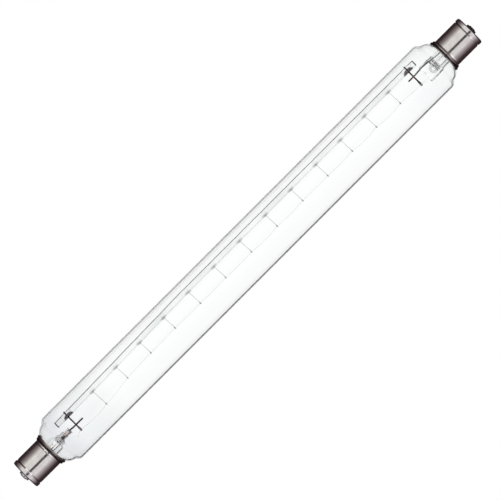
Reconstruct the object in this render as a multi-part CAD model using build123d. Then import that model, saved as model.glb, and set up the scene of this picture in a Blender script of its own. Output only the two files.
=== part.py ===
from build123d import *
import os
from math import cos, degrees, pi, radians, sin, tan

# Double-ended striplight lamp: a clear glass tube with a push-in cap at each end.
# The lamp lies along X with the origin at its middle, and its support rod is on the +Y side.
# Sizes are in millimetres and angles in degrees. "Mouth" is the open, glass end of a cap.

# Whole lamp, from contact to contact
overall_length = 284.0

# Glass tube and its drawn-in ends
tube_diameter = 25.0
glass_wall = 0.75
shoulder_reach = 6.1
shoulder_radius = 2.6
kink_reach = 4.1
kink_rise = 2.7
kink_radius = 1.5
bulge_reach = 1.95
bulge_rise = 2.0
bulge_radius = 3.0
mouth_gap = 0.2
mouth_bend_radius = 6.0
neck_taper = 2.2
neck_bend_radius = 1.5
neck_length = 7.6

# Cap shell, drawn from thin sheet
shell_diameter = 14.7
shell_length = 12.0
shell_wall = 0.3
lip_rise = 1.15
lip_width = 0.5
step_rise = 0.7
step_width = 0.8
flare_run = 0.45
flare_outside_radius = 0.35
flare_inside_radius = 0.2
groove_depth = 0.45
groove_width = 0.7
groove_radius = 0.2
rim_rise = 0.15
rim_width = 1.5
rim_edge_radius = 0.9
crimp_width = 1.5

# Cap filling and contact
cement_gap = 0.6
cement_recess = 1.0
insulator_depth = 1.4
lead_hole_clearance = 0.15
contact_height = 1.9
contact_diameter = 5.2
contact_edge_radius = 0.35
eyelet_diameter = 1.4
solder_height = 0.35
solder_diameter = 3.6
solder_flat_diameter = 2.2

# Stem: flare, press and exhaust tube
seal_band = 1.0
flare_length = 3.6
flare_radius = 2.5
stem_diameter = 7.8
stem_wall = 0.8
stem_reach = 11.6
press_length = 5.4
press_taper = 3.0
press_width = 8.6
press_bulk = 3.5
press_thickness = 2.7
press_end_radius = 0.6
press_slit = 0.5
exhaust_diameter = 3.9
exhaust_wall = 0.75
exhaust_offset = 0.6
exhaust_length = 11.0
exhaust_tip_radius = 1.2
blow_hole_diameter = 2.0
blow_hole_reach = 6.8
blow_ring_thickness = 1.1
left_press_turn = 90.0
right_press_turn = 0.0

# Lead-in wires: an inner lead, a seal wire in the press and an outer lead to the contact
inner_lead_diameter = 0.75
seal_wire_diameter = 0.5
outer_lead_diameter = 0.45
lead_offset = 3.4
bore_lead_offset = 2.4
lead_seat = 0.8
lead_exit = 0.6
lead_bend_radius = 0.7
lead_straight = 1.2
left_lead_tail = 4.2
right_lead_tail = 3.2
left_lead_height = -0.15
right_lead_height = 3.15
outer_lead_bend = 0.8
outer_lead_bend_radius = 2.0
outer_lead_short = 0.25
weld_depth = 0.1

# Cross wires, each folded flat at its lower end to clamp the filament
cross_wire_diameter = 0.7
left_cross_gap = 3.5
right_cross_gap = 4.2
cross_wire_length = 11.8
cross_wire_top = 2.0
clamp_length = 2.2
clamp_width = 1.0
clamp_thickness = 0.45
clamp_edge_radius = 0.15

# Glass support rod, slightly bent
rod_diameter = 3.0
rod_height = 7.35
rod_bend_x = -34.0
rod_bend_angle = 1.15
rod_bend_radius = 600.0
left_rod_overhang = 6.6
right_rod_overhang = 4.7
hook_bead_length = 3.9
hook_bead_diameter = 1.5
hook_bead_drop = 1.15
end_bead_length = 5.4
end_bead_diameter = 3.5

# Support hooks: a straight leg with an open loop round the filament
hook_count = 13
hook_wire_diameter = 0.16
hook_loop_radius = 0.5
hook_loop_angle = 270.0
hook_twist = 14.0
hook_embedding = 0.9
hook_lean = 3.4
first_hook_gap = 15.6
last_hook_gap = 13.0
hook_drift = 1.2

# Filament, as the outside of its fine coil, with its sag in each span from left to right
filament_diameter = 0.3
filament_height = -0.9
filament_tail = 0.8
filament_bend_radius = 2.0
filament_sag_radius = 20.0
filament_sags = (0.2, 0.45, 0.15, 0.1, 0.1, 0.15, 0.6, 1.0, 0.1, 0.1, 0.5, 1.0, 0.3, 0.15)

# Places along the lamp, measured outwards from its middle
lamp_end = overall_length / 2
rim_end = lamp_end - contact_height
rim_start = rim_end - rim_width
shell_end = rim_start - groove_width
shell_start = shell_end - shell_length
step_end = shell_start - flare_run
step_start = step_end - step_width
lip_end = step_start - flare_run
cap_mouth = lip_end - lip_width
neck_end = cap_mouth + neck_length
insulator_start = rim_start - insulator_depth
stem_bore_radius = stem_diameter / 2 - stem_wall
press_end = cap_mouth - stem_reach
press_start = press_end + press_length
press_root = press_start + press_taper
exhaust_end = press_root + exhaust_length
blow_hole_x = cap_mouth - blow_hole_reach

# Places across the lamp
tube_radius = tube_diameter / 2
shell_radius = shell_diameter / 2
step_radius = shell_radius + step_rise
lip_radius = shell_radius + lip_rise
rim_radius = shell_radius + rim_rise
crimp_radius = rim_radius - crimp_width
mouth_radius = lip_radius - shell_wall - mouth_gap
neck_radius = shell_radius - shell_wall - cement_gap
filament_depth = -(clamp_thickness + filament_diameter) / 2
lead_depth = (cross_wire_diameter + inner_lead_diameter) / 2 - weld_depth

# Turns a piece made for the right-hand end, with its press wide along Y, to each end
END = {
    "left": Rot(0, 0, 180) * Rot(left_press_turn, 0, 0),
    "right": Rot(right_press_turn, 0, 0),
}
SIGN = {"left": -1, "right": 1}
CROSS_X = {"left": -(press_end - left_cross_gap), "right": press_end - right_cross_gap}
LEAD_HEIGHT = {"left": left_lead_height, "right": right_lead_height}
LEAD_TAIL = {"left": left_lead_tail, "right": right_lead_tail}


def band(start, end, bottom, top):
    """A rectangle in the section plane: along the lamp from start to end, between two radii."""
    return Pos((start + end) / 2, (bottom + top) / 2) * Rectangle(end - start, top - bottom)


def under(line):
    """The area between a profile line and the lamp's axis."""
    first = line @ 0
    last = line @ 1
    closing = Polyline(last, (last.X, 0), (first.X, 0), first)
    return make_face(line.edges() + closing.edges())


def within(area, wall):
    """The inside of a profile area, one wall in from its line."""
    return offset(area + mirror(area, about=Plane.XZ), amount=-wall)


def turned(section):
    """A solid turned about the lamp's axis."""
    return revolve(section, axis=Axis.X)


def wire_along(path, diameter):
    """A round wire along a path: a cylinder on each straight run and part of a ring on each arc."""
    pieces = []
    for edge in path.edges():
        start = edge @ 0
        heading = edge % 0
        section = Plane(origin=start, z_dir=heading) * Circle(diameter / 2)
        if edge.geom_type == GeomType.LINE:
            pieces.append(extrude(section, edge.length))
        else:
            turn_axis = Axis(edge.arc_center, (start - edge.arc_center).cross(heading))
            pieces.append(revolve(section, turn_axis, degrees(edge.length / edge.radius)))
    return Part() + pieces


def rod_centre(x):
    """Height of the support rod's centre line at a place along the lamp."""
    return rod_height - max(0.0, rod_bend_x - x) * tan(radians(rod_bend_angle))


def end_point(side, along, across):
    """A point in the plane of a press, outwards along the lamp and across the press."""
    return (END[side] * Pos(along, across, 0)).position


def press_point(side, along):
    """A point on the straight line of a wire through the press, from its tip to the cap's mouth."""
    tip = press_end - lead_exit
    fall = (lead_offset - bore_lead_offset) * (along - tip) / (cap_mouth - tip)
    return end_point(side, along, lead_offset - fall)


# Section of the glass, from the middle of the lamp to just past the neck's cut edge
glass_line = FilletPolyline(
    (0, tube_radius),
    (cap_mouth - shoulder_reach, tube_radius),
    (cap_mouth - kink_reach, mouth_radius + kink_rise),
    (cap_mouth - bulge_reach, mouth_radius + bulge_rise),
    (cap_mouth, mouth_radius),
    (cap_mouth + neck_taper, neck_radius),
    (neck_end + glass_wall, neck_radius),
    radius=[shoulder_radius, kink_radius, bulge_radius, mouth_bend_radius, neck_bend_radius],
)
glass_half = under(glass_line)
glass_outside = glass_half + mirror(glass_half, about=Plane.YZ)
glass_inside = within(glass_outside, glass_wall)

# Section of the cap shell, from just before its mouth to the edge of its crimped end
shell_line = FilletPolyline(
    (cap_mouth - shell_wall, lip_radius),
    (lip_end, lip_radius),
    (step_start, step_radius),
    (step_end, step_radius),
    (shell_start, shell_radius),
    (shell_end, shell_radius),
    (shell_end + groove_width / 2, shell_radius - groove_depth),
    (rim_start, rim_radius),
    (rim_end, rim_radius),
    (rim_end, crimp_radius),
    radius=[
        flare_outside_radius,
        flare_inside_radius,
        flare_outside_radius,
        flare_inside_radius,
        groove_radius,
        groove_radius,
        groove_radius,
        rim_edge_radius,
    ],
)
shell_outside = under(shell_line)
shell_inside = within(shell_outside, shell_wall)


def glass_envelope():
    """The glass tube, drawn in at both ends to a neck that stands inside the cap."""
    return turned((glass_outside - glass_inside) & band(-neck_end, neck_end, 0, tube_radius))


def cap_shell(side):
    """The cap's sheet shell: flared mouth, straight sleeve, groove and crimped rim."""
    wall = (shell_outside - shell_inside) & band(cap_mouth, rim_end, crimp_radius, lip_radius)
    return END[side] * turned(wall)


def cap_cement(side):
    """Cement that fills the cap's mouth between the shell and the glass neck."""
    fill = band(cap_mouth + cement_recess, neck_end, 0, lip_radius) & shell_inside
    return END[side] * turned(fill - glass_outside)


def cap_insulator(side):
    """Moulded glass that fills the rim and carries the contact, with a hole for the lead."""
    hole_radius = outer_lead_diameter / 2 + lead_hole_clearance
    body = band(insulator_start, rim_end, hole_radius, rim_radius) & shell_inside
    nose = band(rim_end - shell_wall, rim_end, hole_radius, crimp_radius)
    return END[side] * (turned(body) + turned(nose))


def contact(side):
    """The round metal contact plate, pierced for the lead."""
    plate = band(rim_end, lamp_end - solder_height, eyelet_diameter / 2, contact_diameter / 2)
    corner = plate.vertices().sort_by(Axis.Y)[-2:].sort_by(Axis.X)[-1]
    return END[side] * turned(fillet(corner, contact_edge_radius))


def solder(side, lead):
    """Solder that fills the contact's hole and stands on it as a low dome with a worn flat."""
    bead_base = lamp_end - solder_height
    line = Polyline(
        (rim_end, eyelet_diameter / 2),
        (bead_base, eyelet_diameter / 2),
        (bead_base, solder_diameter / 2),
        (lamp_end, solder_flat_diameter / 2),
    )
    return END[side] * turned(under(line)) - lead


def stem(side, wires):
    """Flare tube sealed into the neck, pinched to a press, with the exhaust tube inside it."""
    seal_radius = neck_radius - glass_wall
    flare_end = neck_end - seal_band - flare_length
    outer_line = FilletPolyline(
        (neck_end, seal_radius),
        (neck_end - seal_band, seal_radius),
        (flare_end, stem_diameter / 2),
        (press_root, stem_diameter / 2),
        radius=flare_radius,
    )
    inner_line = FilletPolyline(
        (neck_end, seal_radius - stem_wall),
        (neck_end - seal_band, seal_radius - stem_wall),
        (flare_end, stem_bore_radius),
        (press_root, stem_bore_radius),
        radius=flare_radius,
    )
    flare = turned(under(outer_line) - under(inner_line))

    across = Plane(origin=(press_root, 0, 0), x_dir=(0, 1, 0), z_dir=(-1, 0, 0))
    pinched = Pos(Z=press_taper) * Ellipse(press_width / 2, press_bulk / 2)
    taper = across * loft([Circle(stem_diameter / 2), pinched])
    slit = Pos(Z=press_taper) * Ellipse(press_width / 2 - stem_wall, press_slit / 2)
    pinched_bore = across * loft([Circle(stem_bore_radius), slit])
    blade = across * extrude(pinched, press_length)
    jaws = Pos((press_start + press_end) / 2, 0, 0) * Box(press_length, press_width, press_thickness)
    blade = blade & jaws
    tip = blade.faces().sort_by(Axis.X)[0]
    blade = fillet(tip.edges(), press_end_radius)

    exhaust_place = Pos(press_start, -exhaust_offset, 0) * Rot(0, 90, 0)
    exhaust = exhaust_place * extrude(Circle(exhaust_diameter / 2), exhaust_end - press_start)
    exhaust = fillet(exhaust.faces().sort_by(Axis.X)[-1].edges(), exhaust_tip_radius)
    bore_radius = exhaust_diameter / 2 - exhaust_wall
    bore_place = Pos(blow_hole_x, -exhaust_offset, 0) * Rot(0, 90, 0)
    bore = bore_place * extrude(Circle(bore_radius), exhaust_end - exhaust_wall - blow_hole_x)
    hole = Pos(blow_hole_x, -exhaust_offset, 0) * extrude(Circle(blow_hole_diameter / 2), stem_diameter)
    ring_radius = (blow_hole_diameter + blow_ring_thickness) / 2
    ring_place = Pos(blow_hole_x, -exhaust_offset, press_thickness / 2)
    ring = ring_place * Torus(ring_radius, blow_ring_thickness / 2)

    pinch = flare + (taper - pinched_bore) + blade
    body = END[side] * (pinch + exhaust + ring - bore - hole)
    for wire in wires:
        body = body - wire
    return body


def inner_lead(side, cross_wire):
    """The lead inside the bulb: out of the press, then along the lamp and across the cross wire."""
    cross_x = CROSS_X[side]
    height = LEAD_HEIGHT[side]
    path = FilletPolyline(
        press_point(side, press_end + lead_seat),
        press_point(side, press_end - lead_exit),
        (cross_x + SIGN[side] * lead_straight, height, lead_depth),
        (cross_x - SIGN[side] * LEAD_TAIL[side], height, lead_depth),
        radius=lead_bend_radius,
    )
    return wire_along(path, inner_lead_diameter) - cross_wire


def seal_wire(side):
    """The short wire sealed in the press, butted to the inner and outer leads."""
    path = Line(
        press_point(side, press_end + lead_seat),
        press_point(side, press_root - lead_seat),
    )
    return wire_along(path, seal_wire_diameter)


def outer_lead(side):
    """The lead from the press past the exhaust tip and through the insulator to the contact."""
    path = FilletPolyline(
        press_point(side, press_root - lead_seat),
        press_point(side, cap_mouth),
        end_point(side, exhaust_end + outer_lead_bend, bore_lead_offset),
        end_point(side, insulator_start - outer_lead_bend, 0),
        end_point(side, lamp_end - outer_lead_short, 0),
        radius=outer_lead_bend_radius,
    )
    return wire_along(path, outer_lead_diameter)


def cross_wire_foot(side):
    """Height of the lower end of a cross wire."""
    return rod_centre(CROSS_X[side]) + cross_wire_top - cross_wire_length


def cross_wire(side):
    """The stiff wire through the rod's end, folded flat at its foot round the filament's end."""
    foot = cross_wire_foot(side)
    clamp_top = foot + clamp_length
    bend_radius = (clamp_thickness + filament_diameter) / 2
    bend_height = foot + clamp_thickness / 2 + bend_radius
    rod_top = rod_centre(CROSS_X[side]) + cross_wire_top
    shank = wire_along(Line((0, rod_top, 0), (0, clamp_top, 0)), cross_wire_diameter)

    down = Line((0, clamp_top), (0, bend_height))
    bend = JernArc(down @ 1, down % 1, bend_radius, -180)
    up = Line(bend @ 1, (-2 * bend_radius, clamp_top))
    fold = Plane(origin=(0, 0, 0), x_dir=(0, 0, 1), z_dir=(-1, 0, 0)) * Wire([down, bend, up])
    blade = RectangleRounded(clamp_width, clamp_thickness, clamp_edge_radius)
    flat = sweep(Plane(origin=fold @ 0, x_dir=(1, 0, 0), z_dir=fold % 0) * blade, path=fold)
    return Pos(CROSS_X[side], 0, 0) * (shank + flat)


def bead(length, diameter):
    """A drawn-out drop of glass, longest along the lamp."""
    arc = EllipticalCenterArc((0, 0), length / 2, diameter / 2, start_angle=0, arc_size=180)
    return turned(make_face([arc, Line(arc @ 1, arc @ 0)]))


def hook_place(number):
    """Where a hook leaves the rod: evenly spaced, with a slow drift from end to end."""
    first = CROSS_X["left"] + first_hook_gap
    last = CROSS_X["right"] - last_hook_gap
    share = number / (hook_count - 1)
    return first + (last - first) * share - hook_drift * sin(2 * pi * share)


def hook_leg(number):
    """Length of a hook's straight leg, from the loop's centre to its end inside the rod."""
    end_height = rod_centre(hook_place(number)) - rod_diameter / 2 + hook_embedding
    return (end_height - filament_height) / cos(radians(hook_lean))


def loop_x(number):
    """Place along the lamp of a hook's loop."""
    return hook_place(number) + hook_leg(number) * sin(radians(hook_lean))


def support_hook(number):
    """One fine wire hook: a leaning leg and an open loop in the plane across the filament."""
    leg = Line((hook_loop_radius, hook_leg(number)), (hook_loop_radius, 0))
    loop = JernArc(leg @ 1, leg % 1, hook_loop_radius, -hook_loop_angle)
    across = Plane(origin=(0, 0, 0), x_dir=(0, 0, 1), z_dir=(-1, 0, 0))
    hook = wire_along(across * Wire([leg, loop]), hook_wire_diameter)
    place = Pos(loop_x(number), filament_height, filament_depth)
    return place * Rot(0, 0, hook_lean) * Rot(0, hook_twist, 0) * hook


def support_rod(wires):
    """The glass rod with a bead round each wire that is melted into it."""
    left = CROSS_X["left"] - left_rod_overhang
    right = CROSS_X["right"] + right_rod_overhang
    path = FilletPolyline(
        (left, rod_centre(left)),
        (rod_bend_x, rod_height),
        (right, rod_height),
        radius=rod_bend_radius,
    )
    rod = wire_along(path, rod_diameter)
    for number in range(hook_count):
        x = hook_place(number)
        rod = rod + Pos(x, rod_centre(x) - hook_bead_drop) * bead(hook_bead_length, hook_bead_diameter)
    for x in CROSS_X.values():
        rod = rod + Pos(x, rod_centre(x)) * bead(end_bead_length, end_bead_diameter)
    for wire in wires:
        rod = rod - wire
    return rod


def filament():
    """The coiled filament's outside, from clamp to clamp through the loops, sagging between them."""
    stations = [(CROSS_X["left"] - filament_tail, cross_wire_foot("left") + clamp_length / 2)]
    for number in range(hook_count):
        stations.append((loop_x(number), filament_height))
    stations.append((CROSS_X["right"] + filament_tail, cross_wire_foot("right") + clamp_length / 2))

    points = [(*stations[0], filament_depth)]
    radii = []
    for number, (start, end) in enumerate(zip(stations, stations[1:])):
        sag = filament_sags[number % len(filament_sags)]
        middle = ((start[0] + end[0]) / 2, (start[1] + end[1]) / 2 - sag, filament_depth)
        points += [middle, (*end, filament_depth)]
        radii += [filament_sag_radius, filament_bend_radius]
    return wire_along(FilletPolyline(*points, radius=radii[:-1]), filament_diameter)


def build():
    """Every piece of the lamp, by name."""
    pieces = {"glass_envelope": glass_envelope(), "filament": filament()}
    rod_wires = []
    for side in ("left", "right"):
        cross = cross_wire(side)
        inner = inner_lead(side, cross)
        seal = seal_wire(side)
        outer = outer_lead(side)
        rod_wires.append(cross)
        pieces[f"cap_shell_{side}"] = cap_shell(side)
        pieces[f"cap_cement_{side}"] = cap_cement(side)
        pieces[f"cap_insulator_{side}"] = cap_insulator(side)
        pieces[f"contact_{side}"] = contact(side)
        pieces[f"solder_{side}"] = solder(side, outer)
        pieces[f"stem_{side}"] = stem(side, [inner, seal, outer])
        pieces[f"inner_lead_{side}"] = inner
        pieces[f"seal_wire_{side}"] = seal
        pieces[f"outer_lead_{side}"] = outer
        pieces[f"cross_wire_{side}"] = cross
    for number in range(hook_count):
        hook = support_hook(number)
        rod_wires.append(hook)
        pieces[f"support_hook_{number + 1:02d}"] = hook
    pieces["support_rod"] = support_rod(rod_wires)
    return pieces


os.makedirs("parts", exist_ok=True)
for name, piece in build().items():
    export_step(piece, f"parts/{name}.step")
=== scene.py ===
import math

import bpy
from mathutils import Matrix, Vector


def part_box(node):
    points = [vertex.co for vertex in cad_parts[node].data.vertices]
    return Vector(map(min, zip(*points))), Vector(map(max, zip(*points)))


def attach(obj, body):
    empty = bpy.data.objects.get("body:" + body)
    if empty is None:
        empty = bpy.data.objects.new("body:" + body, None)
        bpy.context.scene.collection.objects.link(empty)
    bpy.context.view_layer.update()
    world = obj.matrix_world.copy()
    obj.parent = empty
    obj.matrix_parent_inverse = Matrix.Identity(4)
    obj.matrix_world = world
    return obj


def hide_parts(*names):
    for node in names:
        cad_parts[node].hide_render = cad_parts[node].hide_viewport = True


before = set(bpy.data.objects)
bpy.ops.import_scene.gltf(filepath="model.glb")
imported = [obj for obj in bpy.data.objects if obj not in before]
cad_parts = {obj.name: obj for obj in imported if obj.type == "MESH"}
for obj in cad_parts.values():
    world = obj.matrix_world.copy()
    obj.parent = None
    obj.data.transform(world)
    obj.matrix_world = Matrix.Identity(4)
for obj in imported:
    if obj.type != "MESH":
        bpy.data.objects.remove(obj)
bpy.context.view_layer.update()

# Looks of a clear striplight lamp: glass tube, two nickel caps and a filament on wire hooks.
# The lamp lies along X, its support rod is on the +Y side, and +Z faces the camera.
MM = 0.001
SIDES = {"left": -1, "right": 1}
WHITE = (1.0, 1.0, 1.0)
OXIDE = (0.008, 0.006, 0.006)
BEND_STEPS = 8

# Taken from the frame
GLASS_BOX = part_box("glass_envelope")
SHELL_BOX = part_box("cap_shell_right")
CONTACT_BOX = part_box("contact_right")
SOLDER_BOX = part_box("solder_right")
ROD_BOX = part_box("support_rod")
TUBE_RADIUS = GLASS_BOX[1].y
NECK_END = GLASS_BOX[1].x
CAP_MOUTH = SHELL_BOX[0].x
RIM_END = SHELL_BOX[1].x
LIP_RADIUS = SHELL_BOX[1].y
LAMP_END = SOLDER_BOX[1].x
CROSS_X = {}
for side in SIDES:
    low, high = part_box(f"cross_wire_{side}")
    CROSS_X[side] = (low.x + high.x) / 2

# Glass tube and its drawn-in ends
GLASS_WALL = 0.75 * MM
SHOULDER_REACH = 6.1 * MM
KINK_REACH = 4.1 * MM
KINK_RISE = 2.7 * MM
BULGE_REACH = 1.95 * MM
BULGE_RISE = 2.0 * MM
MOUTH_RADIUS = 8.0 * MM
NECK_TAPER = 2.2 * MM
NECK_RADIUS = 6.45 * MM
GLASS_BENDS = (2.6 * MM, 3.0 * MM, 5.0 * MM, 6.0 * MM, 1.5 * MM)

# Tint of the tube's glass, greyer towards its ends and most at the left, by millimetres along the
# lamp
GLASS_TINT_ALONG = (
    (-126.0, (0.89, 0.90, 0.905)),
    (-116.0, (0.875, 0.885, 0.90)),
    (-110.0, (0.932, 0.941, 0.948)),
    (-98.0, (0.94, 0.953, 0.952)),
    (-84.0, (0.982, 0.988, 0.988)),
    (92.0, (0.986, 0.988, 0.99)),
    (104.0, (0.972, 0.98, 0.982)),
    (126.0, (0.955, 0.965, 0.965)),
)

# A patch of the tube over the left stem with its tint taken away, a painted highlight, in
# millimetres along and up
PAINTED_HIGHLIGHT_ALONG = ((-124.6, 0.0), (-124.2, 1.0), (-120.4, 1.0), (-120.0, 0.0))
PAINTED_HIGHLIGHT_UP = ((-1.5, 0.0), (-1.1, 1.0), (2.2, 1.0), (2.6, 0.0))

# Cap shell, from its mouth to its crimped end
SHELL_WALL = 0.3 * MM
FLARE_RUN = 0.45 * MM
STEP_RADIUS = 8.05 * MM
STEP_WIDTH = 0.8 * MM
SHELL_RADIUS = 7.35 * MM
SHELL_LENGTH = 12.0 * MM
GROOVE_DEPTH = 0.45 * MM
GROOVE_WIDTH = 0.7 * MM
RIM_WIDTH = 1.5 * MM
RIM_RADIUS = 7.5 * MM
CRIMP_RADIUS = 6.0 * MM
FLARE_OUTSIDE = 0.35 * MM
FLARE_INSIDE = 0.2 * MM
RIM_EDGE = 0.9 * MM
RIM_REACH = 0.6 * MM

# Grime with painted shade, rubbed edges with a painted highlight, and painted shade on the lip of a
# cap, by millimetres from the lamp's middle.
# The grime and painted shade at the mouths lie MOUTH_SHIFT further out at the left end and further
# in at the right.
MOUTH_SHIFT = 0.28
STEP_GRIME_AND_SHADE = (
    (123.0, 0.0),
    (124.3, 0.0),
    (124.5, 1.0),
    (125.4, 1.0),
    (125.65, 0.0),
    (141.0, 0.0),
)
CORNER_GRIME_AND_SHADE = (
    (123.0, 0.0),
    (126.05, 0.0),
    (126.2, 0.9),
    (126.6, 0.85),
    (126.8, 0.0),
    (141.0, 0.0),
)
GROOVE_GRIME_AND_SHADE = (
    (123.0, 0.0),
    (137.8, 0.0),
    (138.0, 0.75),
    (138.3, 0.75),
    (138.5, 0.0),
    (141.0, 0.0),
)
RUBBED_EDGES_AND_HIGHLIGHT = (
    (123.0, 0.0),
    (126.15, 0.0),
    (126.3, 0.9),
    (126.7, 0.9),
    (126.9, 0.0),
    (137.85, 0.0),
    (138.0, 1.0),
    (138.5, 1.0),
    (138.65, 0.0),
    (141.0, 0.0),
)
# Painted shade on the lip: brown where the glass over it looks dark.
LIP_PAINTED_SHADE = ((123.0, 0.75), (124.1, 0.65), (124.4, 0.0), (141.0, 0.0))

# Band where rubbed edges are painted near white as a highlight, in millimetres up from a line that
# falls along the lamp
HIGHLIGHT_BAND_FALL = 0.0145
HIGHLIGHT_BAND_DROP = 2.0
HIGHLIGHT_BAND = ((-2.6, 0.0), (-1.8, 1.0), (1.6, 1.0), (2.4, 0.0))

# Contact and solder
EYELET_RADIUS = 0.7 * MM
CONTACT_EDGE = 0.35 * MM
CONTACT_FOOT_EDGE = 0.08 * MM
SOLDER_FLAT = 1.35 * MM
SOLDER_TIP = 0.2 * MM
SOLDER_BENDS = (0.02 * MM, 0.06 * MM, 0.3 * MM)

# Stem
STEM_RADIUS = 3.9 * MM
STEM_WALL = 0.8 * MM
STEM_REACH = 11.6 * MM
SEAL_BAND = 1.0 * MM
FLARE_LENGTH = 3.6 * MM
FLARE_BEND = 2.5 * MM
FLARE_STEPS = 6
PRESS_LENGTH = 5.4 * MM
PRESS_TAPER = 3.0 * MM
PRESS_HALF_WIDTH = 4.3 * MM
PRESS_HALF_BULK = 1.75 * MM
PRESS_HALF_THICKNESS = 1.35 * MM
PRESS_ROUND = 0.6 * MM
PRESS_SLIT = 0.25 * MM
PRESS_ROUND_STEPS = 5
PRESS_SHARES = (0.04, 0.08, 0.12, 0.16, 0.2, 0.25, 0.3, 0.5, 0.85)
TAPER_STEPS = 10
EXHAUST_RADIUS = 1.95 * MM
EXHAUST_WALL = 0.75 * MM
EXHAUST_OFFSET = 0.6 * MM
EXHAUST_LENGTH = 11.0 * MM
EXHAUST_TIP = 1.2 * MM
EXHAUST_SEAL = 0.3 * MM
BLOW_HOLE_REACH = 6.8 * MM
BLOW_HOLE_RADIUS = 1.0 * MM
BLOW_RING_RADIUS = 0.55 * MM
PRESS_TURN = {"left": (math.radians(90), 0, math.radians(180)), "right": (0, 0, 0)}
PRESS_END = CAP_MOUTH - STEM_REACH
PRESS_START = PRESS_END + PRESS_LENGTH
PRESS_ROOT = PRESS_START + PRESS_TAPER
EXHAUST_END = PRESS_ROOT + EXHAUST_LENGTH
BLOW_HOLE_X = CAP_MOUTH - BLOW_HOLE_REACH

# Scorch on a stem: round its blown hole, and spots by (x, lowest y, z, radius) in millimetres
BLOW_SCORCH = 0.5
STEM_SPOTS_MM = ((116.9, 3.4, -0.4, 1.9), (119.4, 3.0, 0.2, 0.8), (117.8, 1.5, -1.8, 1.0))

# Inner leads
LEAD_RADIUS = 0.375 * MM
LEAD_OFFSET = 3.4 * MM
BORE_LEAD_OFFSET = 2.4 * MM
LEAD_SEAT = 0.8 * MM
LEAD_EXIT = 0.6 * MM
LEAD_STRAIGHT = 1.2 * MM
LEAD_TAIL = {"left": 4.2 * MM, "right": 3.2 * MM}
LEAD_BEND = 0.7 * MM
LEAD_DEPTH = 0.625 * MM
LEAD_HEIGHT = {"left": -0.15 * MM, "right": 3.15 * MM}

# Support rod
ROD_RADIUS = 1.5 * MM
ROD_HEIGHT = 7.35 * MM
ROD_BEND_X = -34.0 * MM
ROD_SLOPE = math.tan(math.radians(1.15))
ROD_EDGE = 0.25 * MM
HOOK_BEAD_HALF = 1.95 * MM
HOOK_BEAD_DROP = 0.2 * MM
END_BEAD_HALF = 2.7 * MM
END_BEAD_SWELL = 0.45 * MM

# Scorch on the rod, with heights in rod radii: below its centre line at a hook, and as a dome
# from its underside at a cross wire. The left dome stands a little to the right of its wire.
HOOK_SCORCH = 0.7
HOOK_SCORCH_TOP = -0.1
HOOK_SCORCH_FADE = 0.4
DOME_HEIGHT = 1.3
DOME_FADE = 0.12
DOME_SHIFT = 0.45 * MM
# Painted shade: the rod's cut ends are painted near black for the dark line a cut glass end shows.
ROD_END_SHADE = 0.95
ROD_END_REACH = 2.2 * ROD_EDGE

# Cross wires, each folded flat at its foot round the filament
CROSS_RADIUS = 0.35 * MM
CROSS_TOP = 2.0 * MM
CROSS_LENGTH = 11.8 * MM
CLAMP_LENGTH = 2.2 * MM
CLAMP_HALF_WIDTH = 0.5 * MM
CLAMP_HALF_THICKNESS = 0.225 * MM
CLAMP_ENTRY = 0.5 * MM
FOLD_RADIUS = 0.375 * MM
WIRE_END_ROUND = 0.1 * MM
WIRE_END_SHARE = 0.7
CLAMP_END_SHARES = (0.85, 1, 0.6)

# Support hooks
HOOK_COUNT = 13
HOOK_LEG_RADIUS = 0.065 * MM
HOOK_LOOP_RADIUS = 0.095 * MM
HOOK_LOOP = 0.5 * MM
HOOK_LOOP_ANGLE = math.radians(270)
HOOK_TWIST = math.radians(14)
HOOK_LEAN = math.radians(3.4)
HOOK_EMBEDDING = 0.9 * MM
HOOK_DRIFT = 1.2 * MM
FIRST_HOOK_GAP = 15.6 * MM
LAST_HOOK_GAP = 13.0 * MM

# How much lower than the filament's own height each loop hangs, from left to right
LOOP_DROPS_MM = (2.2, 0.65, 0.1, -0.1, 0.1, 0.0, 0.0, 0.0, 0.0, 0.1, 0.0, 0.05, 0.15)

# Filament: a fine coil with a tail past each clamp, and a sag in each span from left to right
COIL_RADIUS = 0.136 * MM
COIL_WIRE = 0.014 * MM
COIL_PITCH = 0.17 * MM
COIL_STEPS = 8
FILAMENT_HEIGHT = -0.9 * MM
FILAMENT_DEPTH = -0.375 * MM
CLAMP_GRIP = 0.8 * MM
FILAMENT_TAIL = {"left": (4.0 * MM, -1.2 * MM), "right": (4.6 * MM, 0.45 * MM)}
LEFT_SAGS_MM = (-0.2, 0.85, 0.3, 0.05, 0.15, 0.12, 0.2, 0.3)
RIGHT_SAGS_MM = (0.65, 0.5, 0.15, 0.3, 0.65, 0.65, 0.2, 0.0)
SAG_STEPS = 10

# Camera: straight down, with the lamp across the frame at 45 degrees
CAMERA_AIM = (1.5 * MM, 0.06 * MM)
CAMERA_HEIGHT = 6.0
CAMERA_TURN = math.radians(-45)
FRAME_WIDTH = 223.4 * MM
SENSOR_WIDTH = 36.0

# Stage: a floor well below the lamp, and two soft boxes above with a narrow gap between them
FLOOR_DROP = 1.0
FLOOR_SIZE = 40.0
FLOOR_COLOUR = (0.8, 0.8, 0.8)
FLOOR_ROUGHNESS = 0.9

# Brightness of the floor as glass shows it, by metres across the lamp: through the tube alone,
# or through the rod as well, which takes light through more glass faces
TUBE_BANDS = (
    (-0.67, 1.0),
    (-0.63, 0.0),
    (-0.40, 0.0),
    (-0.37, 1.0),
    (0.40, 1.0),
    (0.43, 0.40),
    (0.63, 0.40),
    (0.67, 1.0),
)
ROD_BANDS = (
    (-5.0, 1.0),
    (-4.0, 0.0),
    (-0.66, 0.0),
    (-0.60, 1.0),
    (0.30, 1.0),
    (0.55, 0.84),
    (2.50, 0.78),
    (3.50, 1.0),
)
ROD_CROSSINGS = 5.5
CROSSING_FADE = 0.1

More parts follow.
